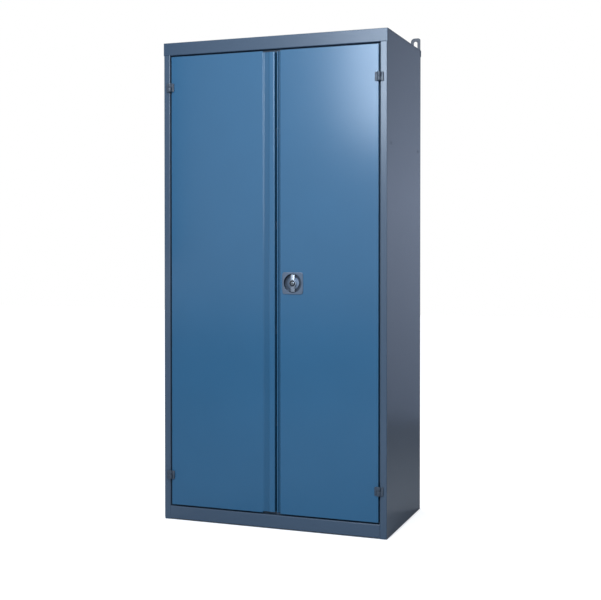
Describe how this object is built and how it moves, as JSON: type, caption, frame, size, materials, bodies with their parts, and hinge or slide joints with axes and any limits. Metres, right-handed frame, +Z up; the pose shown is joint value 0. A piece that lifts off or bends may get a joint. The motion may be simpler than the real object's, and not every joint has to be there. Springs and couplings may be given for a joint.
{
  "type": "tool cabinet",
  "caption": "Tall sheet-steel tool cabinet with hinged doors, a recessed turn handle that works a rod lock, adjustable shelves and wall lugs.",
  "frame": {"origin": "on the floor, midway across the cabinet and midway between the frame's front and back faces", "axes": "+Z up, +X to the right as seen from the front, +Y to the back; the doors face -Y"},
  "size_m": [0.9, 0.517, 1.901],
  "materials": {
    "frame_paint": "slate grey powder coat, semi-gloss",
    "door_paint": "blue powder coat, semi-gloss",
    "zinc_plate": "zinc-plated steel, dull",
    "lock_metal": "satin-nickelled die-cast zinc",
    "key_chrome": "nickel-plated, polished",
    "buffer_rubber": "matt black"
  },
  "bodies": {
    "frame": {"left_side_panel": "frame_paint", "right_side_panel": "frame_paint", "back_panel": "frame_paint", "top_cap": "frame_paint", "bottom_rail": "frame_paint", "floor_panel": "frame_paint", "left_wall_lug": "frame_paint", "right_wall_lug": "frame_paint", "left_front_upright": "frame_paint", "left_rear_upright": "frame_paint", "right_front_upright": "frame_paint", "right_rear_upright": "frame_paint", "shelf_1": "zinc_plate", "shelf_2": "zinc_plate", "shelf_3": "zinc_plate", "shelf_4": "zinc_plate", "shelf_clips": "zinc_plate", "door_buffers": "buffer_rubber", "hinge_frame_leaf_lower_left": "frame_paint", "hinge_frame_leaf_lower_right": "frame_paint", "hinge_frame_leaf_upper_left": "frame_paint", "hinge_frame_leaf_upper_right": "frame_paint", "hinge_pin_lower_left": "frame_paint", "hinge_pin_lower_right": "frame_paint", "hinge_pin_upper_left": "frame_paint", "hinge_pin_upper_right": "frame_paint"},
    "left_door": {"left_door_panel": "door_paint", "left_door_stiffener": "door_paint", "bolt_keeper": "zinc_plate", "hinge_door_leaf_lower_left": "frame_paint", "hinge_door_leaf_upper_left": "frame_paint"},
    "right_door": {"right_door_panel": "door_paint", "right_door_stiffener": "door_paint", "lock_escutcheon": "lock_metal", "escutcheon_nuts": "zinc_plate", "lock_case": "zinc_plate", "upper_rod_guide": "zinc_plate", "lower_rod_guide": "zinc_plate", "hinge_door_leaf_lower_right": "frame_paint", "hinge_door_leaf_upper_right": "frame_paint"},
    "handle": {"handle_knob": "lock_metal", "handle_spindle": "zinc_plate", "lock_cam": "zinc_plate", "cam_screw": "zinc_plate", "key_cylinder": "key_chrome"},
    "key": {"key_plug": "key_chrome"},
    "upper_rod": {"upper_rod": "zinc_plate"},
    "lower_rod": {"lower_rod": "zinc_plate"},
    "side_bolt": {"side_bolt": "zinc_plate"}
  },
  "joints": [
    {"name": "left_door_hinge", "type": "hinge", "parent": "frame", "child": "left_door", "pos_m": [-0.42, -0.257, 0.925], "axis": [0, 0, -1], "range_deg": [0, 180]},
    {"name": "right_door_hinge", "type": "hinge", "parent": "frame", "child": "right_door", "pos_m": [0.42, -0.257, 0.925], "axis": [0, 0, 1], "range_deg": [0, 180]},
    {"name": "handle_turn", "type": "hinge", "parent": "right_door", "child": "handle", "pos_m": [0.0855, -0.25, 0.925], "axis": [0, 1, 0], "range_deg": [0, 90]},
    {"name": "key_turn", "type": "hinge", "parent": "handle", "child": "key", "pos_m": [0.0855, -0.25, 0.925], "axis": [0, 1, 0], "range_deg": [0, 90]},
    {"name": "upper_rod_slide", "type": "slide", "parent": "right_door", "child": "upper_rod", "axis": [0, 0, 1], "range_m": [0, 0.014]},
    {"name": "lower_rod_slide", "type": "slide", "parent": "right_door", "child": "lower_rod", "axis": [0, 0, -1], "range_m": [0, 0.014]},
    {"name": "side_bolt_slide", "type": "slide", "parent": "right_door", "child": "side_bolt", "axis": [-1, 0, 0], "range_m": [0, 0.014]}
  ],
  "couplings": [
    {"joint": "upper_rod_slide", "follows": "handle_turn", "m_per_rad": 0.0089126},
    {"joint": "lower_rod_slide", "follows": "handle_turn", "m_per_rad": 0.0089126},
    {"joint": "side_bolt_slide", "follows": "handle_turn", "m_per_rad": 0.0089126}
  ]
}
